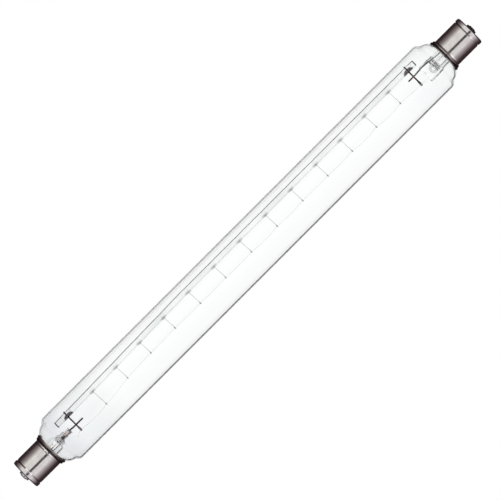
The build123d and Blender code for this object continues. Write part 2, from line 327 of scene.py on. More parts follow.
# Colours that metal mirrors: the floor by metres from the lamp, the sky by its rise
FLOOR_MIRROR = ((1.2, (0.045, 0.026, 0.032)), (9.0, (0.20, 0.165, 0.165)))
UPPER_SKY = (
    (0.0, (0.22, 0.18, 0.18)),
    (0.26, (0.40, 0.355, 0.35)),
    (0.66, (1.0, 0.97, 0.95)),
    (0.70, (0.10, 0.095, 0.095)),
    (1.0, (0.10, 0.095, 0.095)),
)
LOWER_SKY = (
    (0.0, (0.25, 0.195, 0.225)),
    (0.26, (0.47, 0.405, 0.45)),
    (0.66, (1.0, 0.965, 0.98)),
    (0.70, (0.10, 0.095, 0.095)),
    (1.0, (0.10, 0.095, 0.095)),
)
SKY_MEETING = 0.2
SURROUND_LIGHT = (0.35, 0.35, 0.35)
SURROUND_THROUGH_GLASS = (0.95, 0.95, 0.95)
SOFTBOX_RADIANCE = 0.95
SOFTBOX_HEIGHT = 1.3
SOFTBOX_LENGTH = 3.0
SOFTBOX_REACH = 1.42
GAP_START = 0.04
GAP_END = -0.36
UPPER_LIGHT = (1.0, 0.985, 0.97)
LOWER_LIGHT = (0.985, 0.965, 0.99)


# Modelling helpers

def deselect():
    """Leaves edit mode with nothing selected."""
    if bpy.context.object and bpy.context.object.mode != "OBJECT":
        bpy.ops.object.mode_set(mode="OBJECT")
    bpy.ops.object.select_all(action="DESELECT")


def make_active(piece):
    """Selects one piece alone and makes it the active one."""
    deselect()
    piece.select_set(True)
    bpy.context.view_layer.objects.active = piece


def start_ring(name, centre, heading, radius, segments):
    """Adds an open ring that faces along a heading, and goes into edit mode with it selected."""
    deselect()
    turn = Vector(heading).to_track_quat("Z", "Y").to_euler()
    bpy.ops.mesh.primitive_circle_add(
        vertices=segments, radius=radius, location=centre, rotation=turn
    )
    piece = bpy.context.object
    piece.name = name
    piece.data.name = name
    bpy.ops.object.transform_apply(location=True, rotation=True, scale=True)
    bpy.ops.object.mode_set(mode="EDIT")
    bpy.ops.mesh.select_all(action="SELECT")
    return piece


def draw_on(move):
    """Extrudes the selected ring by a move."""
    bpy.ops.mesh.extrude_region_move(TRANSFORM_OT_translate={"value": tuple(move)})


def scale_ring(factors, centre):
    """Scales the selected ring about a centre."""
    bpy.ops.transform.resize(value=tuple(factors), center_override=tuple(centre))


def close_up(piece, smooth_angle=40):
    """Merges doubles, closes open ends, turns faces outwards and smooths all but sharp edges."""
    bpy.ops.mesh.select_all(action="SELECT")
    bpy.ops.mesh.remove_doubles(threshold=1e-7)
    bpy.ops.mesh.fill_holes(sides=0)
    bpy.ops.mesh.select_all(action="SELECT")
    bpy.ops.mesh.normals_make_consistent(inside=False)
    make_active(piece)
    bpy.ops.object.shade_smooth_by_angle(angle=math.radians(smooth_angle))
    return piece


def rings(name, stations, segments):
    """A skin through rings across X: (x, y of the centre, half height in Y, half depth in Z)."""
    x, y, height, depth = stations[0]
    piece = start_ring(name, (x, y, 0), (1, 0, 0), height, segments)
    scale_ring((1, 1, depth / height), (x, y, 0))
    for (x0, y0, height0, depth0), (x1, y1, height1, depth1) in zip(stations, stations[1:]):
        draw_on((x1 - x0, y1 - y0, 0))
        scale_ring((1, height1 / height0, depth1 / depth0), (x1, y1, 0))
    return close_up(piece)


def turned(name, profile, segments):
    """A skin turned about the lamp's axis from (x, radius) stations."""
    return rings(name, [(x, 0, radius, radius) for x, radius in profile], segments)


def corner_arc(before, corner, after, radius):
    """Centre, start, end and turn of the arc that rounds a corner."""
    back = (before - corner).normalized()
    onward = (after - corner).normalized()
    half = back.angle(onward) / 2
    reach = radius / math.tan(half)
    centre = corner + (back + onward).normalized() * radius / math.sin(half)
    return centre, corner + back * reach, corner + onward * reach, math.pi - 2 * half


def rounded(points, radii, steps):
    """Stations along a line of points whose corners are arcs of the given radii."""
    points = [Vector(point) for point in points]
    stations = [points[0]]
    for before, corner, after, radius in zip(points, points[1:], points[2:], radii):
        centre, start, end, turn = corner_arc(before, corner, after, radius)
        for step in range(steps + 1):
            early = math.sin((1 - step / steps) * turn) / math.sin(turn)
            late = math.sin(step / steps * turn) / math.sin(turn)
            stations.append(centre + (start - centre) * early + (end - centre) * late)
    stations.append(points[-1])
    return stations


def one_wall_in(line, wall):
    """Stations one wall inside a profile line that runs outwards along the lamp."""
    inside = []
    for before, here, after in zip(line[:1] + line, line, line[1:] + line[-1:]):
        along = after - before
        inside.append(here + Vector((along.y, -along.x)).normalized() * wall)
    return inside


def spin_on(centre, axis, angle, steps):
    """Spins the selected ring right-handed about an axis, against the operator's own sense."""
    bpy.ops.mesh.spin(steps=steps, angle=-angle, center=tuple(centre), axis=tuple(axis))


def run_wire(name, points, bend, radius, sides):
    """A round wire along straight runs, spun round an arc at each corner."""
    points = [Vector(point) for point in points]
    piece = start_ring(name, points[0], points[1] - points[0], radius, sides)
    place = points[0]
    for before, corner, after in zip(points, points[1:], points[2:]):
        centre, start, end, turn = corner_arc(before, corner, after, bend)
        draw_on(start - place)
        axis = (start - centre).cross(end - centre).normalized()
        spin_on(centre, axis, turn, BEND_STEPS)
        place = end
    draw_on(points[-1] - place)
    return close_up(piece)


def combine(piece, operation, tool):
    """Joins a closed tool to a piece or takes it away, and deletes the tool."""
    make_active(piece)
    boolean = piece.modifiers.new(operation.lower(), "BOOLEAN")
    boolean.operation = operation
    boolean.solver = "EXACT"
    boolean.object = tool
    bpy.ops.object.modifier_apply(modifier=boolean.name)
    bpy.data.objects.remove(tool)


def apply_place(piece):
    """Puts a piece's place and turn into its mesh."""
    make_active(piece)
    bpy.ops.object.transform_apply(location=True, rotation=True, scale=True)


def paint_scorch_and_shade(piece, scorch_and_shade_at):
    """Keeps on each point of a piece how dark its glass is there, from scorch and, on the rod,
    painted shade.
    """
    scorch = piece.data.attributes.new("scorch", "FLOAT", "POINT")
    for value, vertex in zip(scorch.data, piece.data.vertices):
        value.value = scorch_and_shade_at(vertex.co)


def held(value):
    """A value held between 0 and 1."""
    return min(1.0, max(0.0, value))


def seat(piece, node, material):
    """Makes a piece stand for a CAD node and its material."""
    piece.data.materials.clear()
    piece.data.materials.append(material)
    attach(piece, "root")
    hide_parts(node)


# Places along the rod

def rod_centre(x):
    """Height of the support rod's centre line."""
    return ROD_HEIGHT - max(0.0, ROD_BEND_X - x) * ROD_SLOPE


def hook_place(number):
    """Where a hook leaves the rod."""
    first = CROSS_X["left"] + FIRST_HOOK_GAP
    last = CROSS_X["right"] - LAST_HOOK_GAP
    share = number / (HOOK_COUNT - 1)
    return first + (last - first) * share - HOOK_DRIFT * math.sin(2 * math.pi * share)


def loop_height(number):
    """Height of a hook's loop, lower at the first hooks, where the rod is lower too."""
    return FILAMENT_HEIGHT - LOOP_DROPS_MM[number] * MM


def hook_leg(number):
    """Length of a hook's straight leg, from the loop's centre to its end inside the rod."""
    end_height = rod_centre(hook_place(number)) - ROD_RADIUS + HOOK_EMBEDDING
    return (end_height - loop_height(number)) / math.cos(HOOK_LEAN)


def loop_x(number):
    """Place along the lamp of a hook's loop."""
    return hook_place(number) + hook_leg(number) * math.sin(HOOK_LEAN)


def cross_foot(side):
    """Height of a cross wire's lower end."""
    return rod_centre(CROSS_X[side]) + CROSS_TOP - CROSS_LENGTH


# Pieces

def make_envelope():
    """The tube with its shoulders and necks, as one closed glass wall."""
    outside = rounded(
        [
            (0, TUBE_RADIUS),
            (CAP_MOUTH - SHOULDER_REACH, TUBE_RADIUS),
            (CAP_MOUTH - KINK_REACH, MOUTH_RADIUS + KINK_RISE),
            (CAP_MOUTH - BULGE_REACH, MOUTH_RADIUS + BULGE_RISE),
            (CAP_MOUTH, MOUTH_RADIUS),
            (CAP_MOUTH + NECK_TAPER, NECK_RADIUS),
            (NECK_END, NECK_RADIUS),
        ],
        GLASS_BENDS,
        steps=10,
    )
    inside = one_wall_in(outside, GLASS_WALL)
    right = outside[1:] + inside[:0:-1]
    left = [Vector((-x, radius)) for x, radius in reversed(right)]
    return turned("glass_envelope_wall", right + left + right[:1], segments=192)


def make_cap_shell(side):
    """The drawn sheet shell: flared mouth, straight sleeve, groove and crimped rim."""
    shell_end = RIM_END - RIM_WIDTH - GROOVE_WIDTH
    shell_start = shell_end - SHELL_LENGTH
    step_end = shell_start - FLARE_RUN
    step_start = step_end - STEP_WIDTH
    outside = rounded(
        [
            (CAP_MOUTH, LIP_RADIUS),
            (step_start - FLARE_RUN, LIP_RADIUS),
            (step_start, STEP_RADIUS),
            (step_end, STEP_RADIUS),
            (shell_start, SHELL_RADIUS),
            (shell_end, SHELL_RADIUS),
            (shell_end + GROOVE_WIDTH / 2, SHELL_RADIUS - GROOVE_DEPTH),
            (shell_end + GROOVE_WIDTH, RIM_RADIUS),
            (RIM_END + RIM_REACH, RIM_RADIUS),
            (RIM_END + RIM_REACH, CRIMP_RADIUS),
        ],
        [FLARE_OUTSIDE, FLARE_INSIDE] * 2 + [FLARE_INSIDE] * 3 + [RIM_EDGE],
        steps=5,
    )
    inside = one_wall_in(outside, SHELL_WALL)
    profile = [(SIDES[side] * x, radius) for x, radius in outside + inside[::-1] + outside[:1]]
    return turned(f"cap_shell_{side}_sheet", profile, segments=160)


def make_contact(side):
    """The round contact plate with a rounded edge and a hole for the lead."""
    face = CONTACT_BOX[1].x
    edge = CONTACT_BOX[1].y
    line = rounded(
        [(RIM_END, EYELET_RADIUS), (RIM_END, edge), (face, edge), (face, EYELET_RADIUS)],
        [CONTACT_FOOT_EDGE, CONTACT_EDGE],
        steps=5,
    )
    profile = [(SIDES[side] * x, radius) for x, radius in line + line[:1]]
    return turned(f"contact_{side}_plate", profile, segments=64)


def make_solder(side):
    """Solder that fills the contact's hole and stands on it as a low dome with a worn flat."""
    base = CONTACT_BOX[1].x
    edge = SOLDER_BOX[1].y
    line = rounded(
        [
            (RIM_END, EYELET_RADIUS),
            (base, EYELET_RADIUS),
            (base, edge),
            (LAMP_END, SOLDER_FLAT),
            (LAMP_END, SOLDER_TIP),
        ],
        SOLDER_BENDS,
        steps=5,
    )
    profile = [(SIDES[side] * x, radius) for x, radius in line]
    return turned(f"solder_{side}_dome", profile, segments=48)


def pinched(radius, width, depth):
    """Stations from the round of the stem tube to the flat of its press, outside or bore."""
    stations = []
    for step in range(1, TAPER_STEPS + 1):
        share = step / TAPER_STEPS
        ease = share * share * (3 - 2 * share)
        wide = radius + (width - radius) * ease
        deep = radius + (depth - radius) * ease
        stations.append((PRESS_ROOT - share * PRESS_TAPER, 0, wide, deep))
    return stations


def stem_scorch_at(place):
    """How dark the stem's glass is round its blown hole and in spots by its press, from 0 to 1."""
    for x, lowest, z, radius in STEM_SPOTS_MM:
        away = math.hypot(place.x / MM - x, place.z / MM - z) / radius
        if away < 1 and place.y > lowest * MM:
            return min(1.0, 2 - 2 * away)
    from_hole = math.hypot(place.x - BLOW_HOLE_X, place.y + EXHAUST_OFFSET)
    on_rim = abs(from_hole - BLOW_HOLE_RADIUS - BLOW_RING_RADIUS) < BLOW_RING_RADIUS
    return BLOW_SCORCH if on_rim and place.z > PRESS_HALF_THICKNESS else 0.0


def stem_stations():
    """Rings of the stem's skin: from its slit along the inside, then back outside to the press."""
    seal_radius = NECK_RADIUS - GLASS_WALL
    flare_start = NECK_END - SEAL_BAND
    fall = STEM_RADIUS - seal_radius
    line = [
        (NECK_END, 0),
        (flare_start, 0),
        (flare_start - FLARE_LENGTH, fall),
        (PRESS_ROOT, fall),
    ]
    bends = [FLARE_BEND] * 2
    outside = rounded([(x, seal_radius + rise) for x, rise in line], bends, FLARE_STEPS)
    inner = seal_radius - STEM_WALL
    inside = rounded([(x, inner + rise) for x, rise in line], bends, FLARE_STEPS)
    bore = STEM_RADIUS - STEM_WALL
    stations = pinched(bore, PRESS_HALF_WIDTH - STEM_WALL, PRESS_SLIT)[::-1]
    stations += [(x, 0, radius, radius) for x, radius in inside[::-1] + outside]
    stations += pinched(STEM_RADIUS, PRESS_HALF_WIDTH, PRESS_HALF_BULK)
    for share in PRESS_SHARES:
        x = PRESS_START - share * PRESS_LENGTH
        stations.append((x, 0, PRESS_HALF_WIDTH, PRESS_HALF_BULK))
    for step in range(1, PRESS_ROUND_STEPS + 1):
        angle = math.radians(90 * step / PRESS_ROUND_STEPS)
        trim = PRESS_ROUND * (1 - math.cos(angle))
        x = PRESS_END + PRESS_ROUND * (1 - math.sin(angle))
        stations.append((x, 0, PRESS_HALF_WIDTH - trim, PRESS_HALF_BULK - trim))
    return stations


def flatten_press(stem):
    """Flattens both faces of the press, as its jaws did."""
    for face in (1, -1):
        bpy.ops.object.mode_set(mode="EDIT")
        bpy.ops.mesh.select_all(action="DESELECT")
        bpy.ops.object.mode_set(mode="OBJECT")
        for vertex in stem.data.vertices:
            in_jaws = PRESS_END + PRESS_ROUND < vertex.co.x < PRESS_START
            vertex.select = in_jaws and face * vertex.co.z > PRESS_HALF_THICKNESS
        bpy.ops.object.mode_set(mode="EDIT")
        scale_ring((1, 1, 0), (0, 0, face * PRESS_HALF_THICKNESS))
    bpy.ops.object.mode_set(mode="OBJECT")


def add_exhaust(stem):
    """Joins the sealed exhaust tube to the stem, and the ring of glass round its blown hole."""
    tube = [
        (PRESS_START, EXHAUST_RADIUS),
        (EXHAUST_END, EXHAUST_RADIUS),
        (EXHAUST_END, EXHAUST_SEAL),
    ]
    line = rounded(tube, [EXHAUST_TIP], FLARE_STEPS)
    stations = [(x, -EXHAUST_OFFSET, radius, radius) for x, radius in line]
    combine(stem, "UNION", rings("exhaust", stations, segments=40))

    deselect()
    bpy.ops.mesh.primitive_torus_add(
        location=(BLOW_HOLE_X, -EXHAUST_OFFSET, PRESS_HALF_THICKNESS),
        major_radius=BLOW_HOLE_RADIUS + BLOW_RING_RADIUS,
        minor_radius=BLOW_RING_RADIUS,
        major_segments=48,
        minor_segments=20,
    )
    combine(stem, "UNION", bpy.context.object)


def bore_exhaust(stem):
    """Bores the exhaust tube and opens its blown hole on the press."""
    radius = EXHAUST_RADIUS - EXHAUST_WALL
    ends = (BLOW_HOLE_X, EXHAUST_END - EXHAUST_WALL)
    stations = [(x, -EXHAUST_OFFSET, radius, radius) for x in ends]
    combine(stem, "DIFFERENCE", rings("bore", stations, segments=32))

    foot = (BLOW_HOLE_X, -EXHAUST_OFFSET, 0)
    hole = start_ring("hole", foot, (0, 0, 1), BLOW_HOLE_RADIUS, segments=32)
    draw_on((0, 0, STEM_RADIUS))
    close_up(hole)
    combine(stem, "DIFFERENCE", hole)


def make_stem(side):
    """Flare tube pinched to a press, with the exhaust tube in it and its blown hole."""
    stem = rings(f"stem_{side}_glass", stem_stations(), segments=64)
    flatten_press(stem)
    add_exhaust(stem)
    bore_exhaust(stem)
    paint_scorch_and_shade(stem, stem_scorch_at)
    stem.rotation_euler = PRESS_TURN[side]
    apply_place(stem)
    bpy.ops.object.shade_smooth_by_angle(angle=math.radians(50))
    return stem


def press_point(side, along):
    """A point on the straight line of a wire through the press, from its tip to the cap's mouth."""
    tip = PRESS_END - LEAD_EXIT
    across = LEAD_OFFSET - (LEAD_OFFSET - BORE_LEAD_OFFSET) * (along - tip) / (CAP_MOUTH - tip)
    if side == "right":
        return (along, across, 0)
    return (-along, 0, across)


def make_inner_lead(side):
    """The lead out of the press, bent along the lamp and welded across the cross wire."""
    inward = -SIDES[side]
    height = LEAD_HEIGHT[side]
    points = [
        press_point(side, PRESS_END + LEAD_SEAT),
        press_point(side, PRESS_END - LEAD_EXIT),
        (CROSS_X[side] - inward * LEAD_STRAIGHT, height, LEAD_DEPTH),
        (CROSS_X[side] + inward * LEAD_TAIL[side], height, LEAD_DEPTH),
    ]
    return run_wire(f"inner_lead_{side}_wire", points, LEAD_BEND, LEAD_RADIUS, sides=20)


def make_cross_wire(side):
    """The stiff wire through the rod's end, folded flat at its foot to clamp the filament."""
    x = CROSS_X[side]
    top = rod_centre(x) + CROSS_TOP
    foot = cross_foot(side)
    clamp_top = foot + CLAMP_LENGTH
    bend_height = foot + CLAMP_HALF_THICKNESS + FOLD_RADIUS
    name = f"cross_wire_{side}_wire"
    wire = start_ring(name, (x, top, 0), (0, -1, 0), CROSS_RADIUS, segments=24)
    scale_ring((WIRE_END_SHARE, 1, WIRE_END_SHARE), (x, top, 0))
    draw_on((0, -WIRE_END_ROUND, 0))
    scale_ring((1 / WIRE_END_SHARE, 1, 1 / WIRE_END_SHARE), (x, top, 0))
    draw_on((0, clamp_top + CLAMP_ENTRY - top + WIRE_END_ROUND, 0))
    draw_on((0, -CLAMP_ENTRY, 0))
    flatten = (CLAMP_HALF_WIDTH / CROSS_RADIUS, 1, CLAMP_HALF_THICKNESS / CROSS_RADIUS)
    scale_ring(flatten, (x, clamp_top, 0))
    draw_on((0, bend_height - clamp_top, 0))
    spin_on((x, bend_height, -FOLD_RADIUS), (1, 0, 0), math.pi, steps=12)
    draw_on((0, clamp_top - WIRE_END_ROUND - bend_height, 0))
    draw_on((0, WIRE_END_ROUND, 0))
    scale_ring(CLAMP_END_SHARES, (x, clamp_top, -2 * FOLD_RADIUS))
    return close_up(wire)


def hook_bead_at(x):
    """How far the bead round a hook lets the rod's underside down, from 0 to 1."""
    for number in range(HOOK_COUNT):
        away = (x - hook_place(number)) / HOOK_BEAD_HALF
        if abs(away) < 1:
            return (1 - away * away) ** 0.75
    return 0.0


def end_bead_at(x):
    """How far the bead round a cross wire swells the rod, from 0 to 1."""
    for cross_x in CROSS_X.values():
        away = (x - cross_x) / END_BEAD_HALF
        if abs(away) < 1:
            return math.sqrt(1 - abs(away) ** 3)
    return 0.0


def rod_scorch_and_shade_at(place):
    """How dark the rod's glass is where a hot wire was pressed into it, and near black as painted
    shade at its cut ends, from 0 to 1.
    """
    above = (place.y - rod_centre(place.x)) / ROD_RADIUS
    hook = hook_bead_at(place.x) * held((HOOK_SCORCH_TOP - above) / HOOK_SCORCH_FADE)
    dome_shift = DOME_SHIFT if place.x < 0 else 0.0
    dome = DOME_HEIGHT * end_bead_at(place.x - dome_shift) - (above + 1.0)
    facing = held(0.5 + 4 * place.z / ROD_RADIUS)
    from_end = min(place.x - ROD_BOX[0].x, ROD_BOX[1].x - place.x)
    # Painted shade at the rod's cut ends.
    cut_end_shade = ROD_END_SHADE if from_end < ROD_END_REACH else 0.0
    return max(facing * max(HOOK_SCORCH * hook, held(dome / DOME_FADE)), cut_end_shade)


def make_rod():
    """The glass rod, swollen and scorched where a hook or a cross wire is melted into it, and
    painted dark at its cut ends as shade.
    """
    left, right = ROD_BOX[0].x, ROD_BOX[1].x
    places = {ROD_BEND_X}
    for edges in (1, 2, 2.6):
        places |= {left + edges * ROD_EDGE, right - edges * ROD_EDGE}
    for number in range(HOOK_COUNT):
        places |= {hook_place(number) + HOOK_BEAD_HALF * step / 6 for step in range(-7, 8)}
    for x in CROSS_X.values():
        places |= {x + END_BEAD_HALF * step / 12 for step in range(-13, 16)}
    stations = [(left, rod_centre(left), ROD_RADIUS - ROD_EDGE, ROD_RADIUS - ROD_EDGE)]
    for x in sorted(places):
        drop = HOOK_BEAD_DROP * hook_bead_at(x)
        swell = END_BEAD_SWELL * end_bead_at(x)
        stations.append(
            (x, rod_centre(x) - drop / 2, ROD_RADIUS + drop / 2, ROD_RADIUS + swell)
        )
    stations.append((right, rod_centre(right), ROD_RADIUS - ROD_EDGE, ROD_RADIUS - ROD_EDGE))
    rod = rings("support_rod_glass", stations, segments=56)
    paint_scorch_and_shade(rod, rod_scorch_and_shade_at)
    return rod


def make_hook(number):
    """A fine wire hook: a leaning leg and an open loop across the filament."""
    leg = hook_leg(number)
    name = f"support_hook_{number + 1:02d}_wire"
    hook = start_ring(name, (0, leg, HOOK_LOOP), (0, -1, 0), HOOK_LEG_RADIUS, segments=10)
    draw_on((0, HOOK_LOOP - leg, 0))
    draw_on((0, -HOOK_LOOP, 0))
    wider = HOOK_LOOP_RADIUS / HOOK_LEG_RADIUS
    scale_ring((wider, 1, wider), (0, 0, HOOK_LOOP))
    spin_on((0, 0, 0), (1, 0, 0), HOOK_LOOP_ANGLE, steps=27)
    close_up(hook)
    hook.location = (loop_x(number), loop_height(number), FILAMENT_DEPTH)
    hook.rotation_euler = (0, HOOK_TWIST, HOOK_LEAN)
    apply_place(hook)
    return hook


def clamp_point(side, reach, rise):
    """A point of the filament by its distance outwards from a cross wire and above its foot."""
    return (CROSS_X[side] + SIDES[side] * reach, cross_foot(side) + rise)


def filament_line():
    """Points along the filament, from tail to tail through the clamps and loops."""
    left, right = FILAMENT_TAIL["left"], FILAMENT_TAIL["right"]
    stations = [clamp_point("left", *left), clamp_point("left", 0, CLAMP_GRIP)]
    stations += [(loop_x(number), loop_height(number)) for number in range(HOOK_COUNT)]
    stations += [clamp_point("right", 0, CLAMP_GRIP), clamp_point("right", *right)]
    sags = LEFT_SAGS_MM + RIGHT_SAGS_MM
    points = []
    for (x0, y0), (x1, y1), sag in zip(stations, stations[1:], sags):
        for step in range(SAG_STEPS):
            share = step / SAG_STEPS
            dip = 4 * share * (1 - share) * sag * MM
            points.append((x0 + (x1 - x0) * share, y0 + (y1 - y0) * share - dip, FILAMENT_DEPTH))
    points.append((*stations[-1], FILAMENT_DEPTH))
    return [Vector(point) for point in points]


def make_filament():
    """A wire section screwed into a straight coil, then laid along the filament's line."""
    points = filament_line()
    length = sum((after - before).length for before, after in zip(points, points[1:]))
    line = bpy.data.curves.new("filament_line", "CURVE")
    line.dimensions = "3D"
    spline = line.splines.new("POLY")
    spline.points.add(len(points) - 1)
    for place, point in zip(spline.points, points):
        place.co = (*point, 1)
    guide = bpy.data.objects.new("filament_line", line)
    bpy.context.scene.collection.objects.link(guide)

    coil = start_ring("filament_coil", (0, COIL_RADIUS, 0), (0, 0, 1), COIL_WIRE, segments=5)
    bpy.ops.object.mode_set(mode="OBJECT")
    screw = coil.modifiers.new("turns", "SCREW")
    screw.axis = "X"
    screw.angle = 2 * math.pi
    screw.screw_offset = COIL_PITCH
    screw.iterations = int(length / COIL_PITCH)
    screw.steps = COIL_STEPS
    screw.render_steps = COIL_STEPS
    screw.use_merge_vertices = False
    make_active(coil)
    bpy.ops.object.modifier_apply(modifier=screw.name)
    lay = coil.modifiers.new("lay", "CURVE")
    lay.object = guide
    lay.deform_axis = "POS_X"
    bpy.ops.object.modifier_apply(modifier=lay.name)
    bpy.data.objects.remove(guide)
    bpy.ops.object.mode_set(mode="EDIT")
    return close_up(coil, smooth_angle=180)


# Materials

class Field:
    """A shader value or vector; an expression on values adds Math nodes."""

    def __init__(self, socket):
        self.socket = socket

    def node(self, kind, settings=None, inputs=None, output=0):
        """Adds a node of a type: its settings first, then its sockets' values or links."""
        tree = self.socket.id_data
        node = tree.nodes.new(kind)
        for key, value in (settings or {}).items():
            if key == "stops":
                ramp = node.color_ramp
                while len(ramp.elements) < len(value):
                    ramp.elements.new(1.0)
                for element, (place, colour) in zip(ramp.elements, value):
                    element.position = place
                    element.color = (*colour, 1)
            else:
                setattr(node, key, value)
        for key, value in (inputs or {}).items():
            if isinstance(value, Field):
                tree.links.new(value.socket, node.inputs[key])
            else:
                node.inputs[key].default_value = value
        return Field(node.outputs[output])

    def math(self, operation, first, second):
        return self.node("ShaderNodeMath", {"operation": operation}, {0: first, 1: second})

    def __add__(self, other):
        return self.math("ADD", self, other)

    def __radd__(self, other):
        return self.math("ADD", other, self)

    def __sub__(self, other):
        return self.math("SUBTRACT", self, other)

    def __rsub__(self, other):
        return self.math("SUBTRACT", other, self)

    def __mul__(self, other):
        return self.math("MULTIPLY", self, other)

    def __rmul__(self, other):
        return self.math("MULTIPLY", other, self)

    def part(self, axis):
        """One coordinate of a place or heading."""
        return self.node("ShaderNodeSeparateXYZ", {}, {0: self}, axis)

    def along(self):
        """The distance along the lamp from its middle, of a place."""
        x = self.part("X")
        return x.node("ShaderNodeMath", {"operation": "ABSOLUTE"}, {0: x})

    def levels(self, stops):
        """The value looked up in a ramp of (place, level) or (place, colour) stops."""
        first, last = stops[0][0], stops[-1][0]
        shares = []
        for place, level in stops:
            colour = level if isinstance(level, tuple) else (level,) * 3
            shares.append(((place - first) / (last - first), colour))
        share = self.ramp(first, last)
        return share.node("ShaderNodeValToRGB", {"stops": shares}, {0: share})

    def noise(self, scale, detail=2.0, roughness=0.5):
        """Noise in millimetre space, one scale along the lamp and one across it."""
        along, across = scale
        spread = self.node(
            "ShaderNodeMapping", {}, {"Vector": self, "Scale": (along, across, across)}
        )
        return spread.node(
            "ShaderNodeTexNoise",
            {},
            {"Vector": spread, "Scale": 1.0, "Detail": detail, "Roughness": roughness},
        )

    def ramp(self, low, high, start=0.0, end=1.0):
        """The value mapped from low..high to start..end, clamped."""
        return self.node(
            "ShaderNodeMapRange",
            {},
            {"Value": self, "From Min": low, "From Max": high, "To Min": start, "To Max": end},
        )

    def blend(self, first, second):
        """Two colours mixed by this value."""
        return self.node(
            "ShaderNodeMix",
            {"data_type": "RGBA"},
            {"Factor": self, 6: colour_of(first), 7: colour_of(second)},
            2,
        )

    def bump(self, height_mm):
        """A normal that takes this value as a height."""
        return self.node(
            "ShaderNodeBump", {}, {"Height": self, "Strength": 1.0, "Distance": height_mm * MM}
        )


def colour_of(value):
    """A colour as a socket takes it."""
    return value if isinstance(value, Field) else (*value, 1)


class Finish:
    """One material: its shader, and the place on the lamp in millimetres."""

    def __init__(self, name, **values):
        self.material = bpy.data.materials.new(name)
        self.material.use_nodes = True
        self.shader = self.material.node_tree.nodes["Principled BSDF"]
        self.set(**values)
        nodes = self.material.node_tree.nodes
        place = Field(nodes.new("ShaderNodeTexCoord").outputs["Object"])
        self.mm = place.node(
            "ShaderNodeMapping", {}, {"Vector": place, "Scale": (1000, 1000, 1000)}
        )

    def set(self, **values):
        """Sets or links the shader's sockets, with underscores for spaces in their names."""
        for key, value in values.items():
            socket = self.shader.inputs[key.replace("_", " ")]
            if isinstance(value, Field):
                self.material.node_tree.links.new(value.socket, socket)
            elif isinstance(value, tuple):
                socket.default_value = (*value, 1)
            else:
                socket.default_value = value
        return self.material


def envelope_glass():
    """Clear tube glass with faint drawn lines along it, greyer towards its ends and most at the
    left, with a painted highlight over the left stem.
    """
    finish = Finish(
        "envelope_glass",
        Transmission_Weight=1.0,
        IOR=1.51,
        Roughness=0.0,
        Specular_Tint=(0.2, 0.2, 0.2),
    )
    lines = finish.mm.noise((0.02, 0.6), detail=3.0)
    cloud = finish.mm.noise((0.05, 0.15))
    x = finish.mm.part("X")
    tube_tint = (0.15 * cloud.ramp(0.35, 0.65)).blend(x.levels(GLASS_TINT_ALONG), WHITE)
    # Painted highlight: the tint is taken away in a patch over the left stem.
    clear = x.levels(PAINTED_HIGHLIGHT_ALONG) * finish.mm.part("Y").levels(PAINTED_HIGHLIGHT_UP)
    return finish.set(Base_Color=clear.blend(tube_tint, WHITE), Normal=lines.bump(0.0005))


def inner_glass(name, ior, tint, streaks, height):
    """Clear glass of the mount, with faint drawn lines, dark where hot wire scorched it and where
    shade is painted on it.
    """
    finish = Finish(name, Transmission_Weight=1.0, IOR=ior, Roughness=0.0)
    lines = finish.mm.noise(streaks, detail=3.0)
    cloud = finish.mm.noise((0.05, 0.15))
    colour = cloud.ramp(0.35, 0.65).blend(tint, (0.99, 0.99, 0.99))
    scorch = finish.mm.node("ShaderNodeAttribute", {"attribute_name": "scorch"}, {}, "Fac")
    return finish.set(
        Base_Color=scorch.blend(colour, (0.004, 0.0014, 0.0014)),
        Normal=lines.bump(height),
    )


